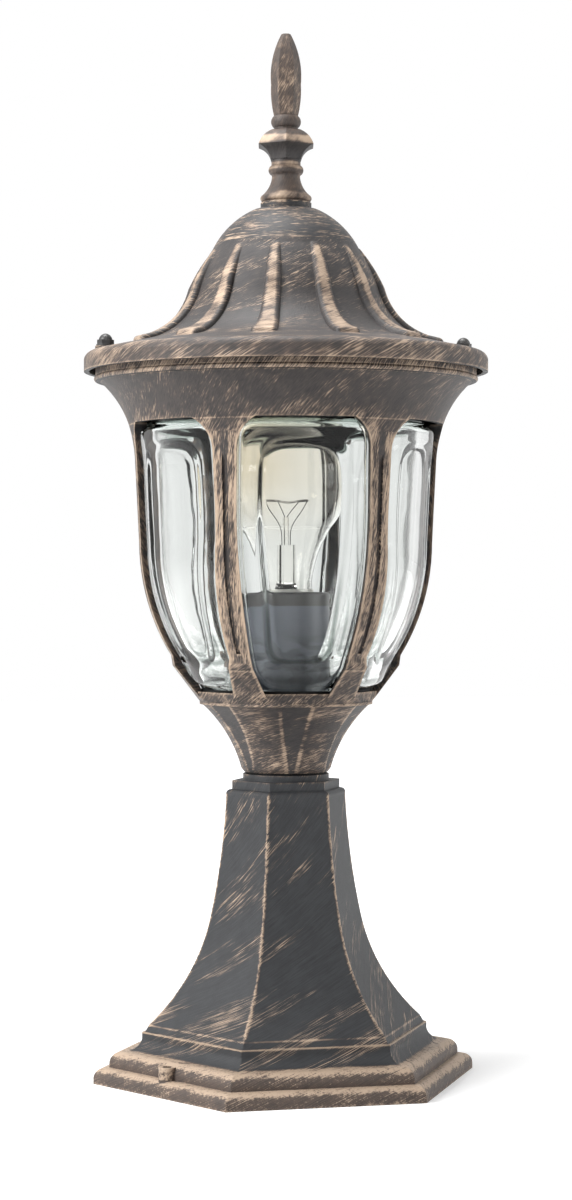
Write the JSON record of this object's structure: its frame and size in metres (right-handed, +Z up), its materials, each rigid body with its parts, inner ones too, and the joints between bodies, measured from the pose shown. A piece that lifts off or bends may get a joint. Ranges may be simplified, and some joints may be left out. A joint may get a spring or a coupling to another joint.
{
  "type": "pedestal lantern",
  "caption": "Outdoor pedestal lantern with a flared hexagonal base, a ribbed cage around pressed glass and a fluted dome roof with a spear finial.",
  "frame": {"origin": "middle of the foot, on the surface that the lantern stands on", "axes": "+Z up along the lantern's axis, flats of the hexagonal base towards +Y and -Y"},
  "size_m": [0.1934, 0.1934, 0.4998],
  "materials": {
    "casting": "black paint brushed with antique copper",
    "shade_glass": "clear pressed glass",
    "seal": "matt",
    "steel": "zinc plated",
    "black_steel": "black paint",
    "holder_shell": "moulded thermoset",
    "porcelain": "glazed",
    "brass": "plain",
    "lamp_insulator": "vitrified",
    "lamp_cap": "plain",
    "lamp_glass": "clear blown glass",
    "filament": "drawn wire",
    "terminal_body": "moulded",
    "lead_brown": "sleeved wire",
    "lead_blue": "sleeved wire",
    "lead_green": "sleeved wire"
  },
  "bodies": {
    "root": {"base_pedestal": "casting", "lantern_cage": "casting", "roof": "casting", "finial": "casting", "glass_shade": "shade_glass", "glass_seat": "seal", "neck_gasket": "seal", "roof_gasket": "seal", "roof_studs": "steel", "roof_washers": "steel", "cap_nuts": "black_steel", "finial_stud": "steel", "finial_washer": "steel", "finial_nut": "steel", "threaded_tube": "steel", "tube_nuts": "steel", "tube_washers": "steel", "holder_cap": "holder_shell", "holder_skirt": "holder_shell", "holder_insert": "porcelain", "holder_screw_shell": "brass", "holder_contact": "brass", "lamp_contact": "brass", "lamp_insulator": "lamp_insulator", "lamp_cap": "lamp_cap", "lamp_envelope": "lamp_glass", "lamp_stem": "lamp_glass", "lamp_wires": "steel", "lamp_filament": "filament", "terminal_block": "terminal_body", "terminal_screws": "brass", "terminal_fixing_screws": "steel", "earth_tag": "brass", "lead_live": "lead_brown", "lead_neutral": "lead_blue", "lead_earth": "lead_green"}
  },
  "joints": []
}
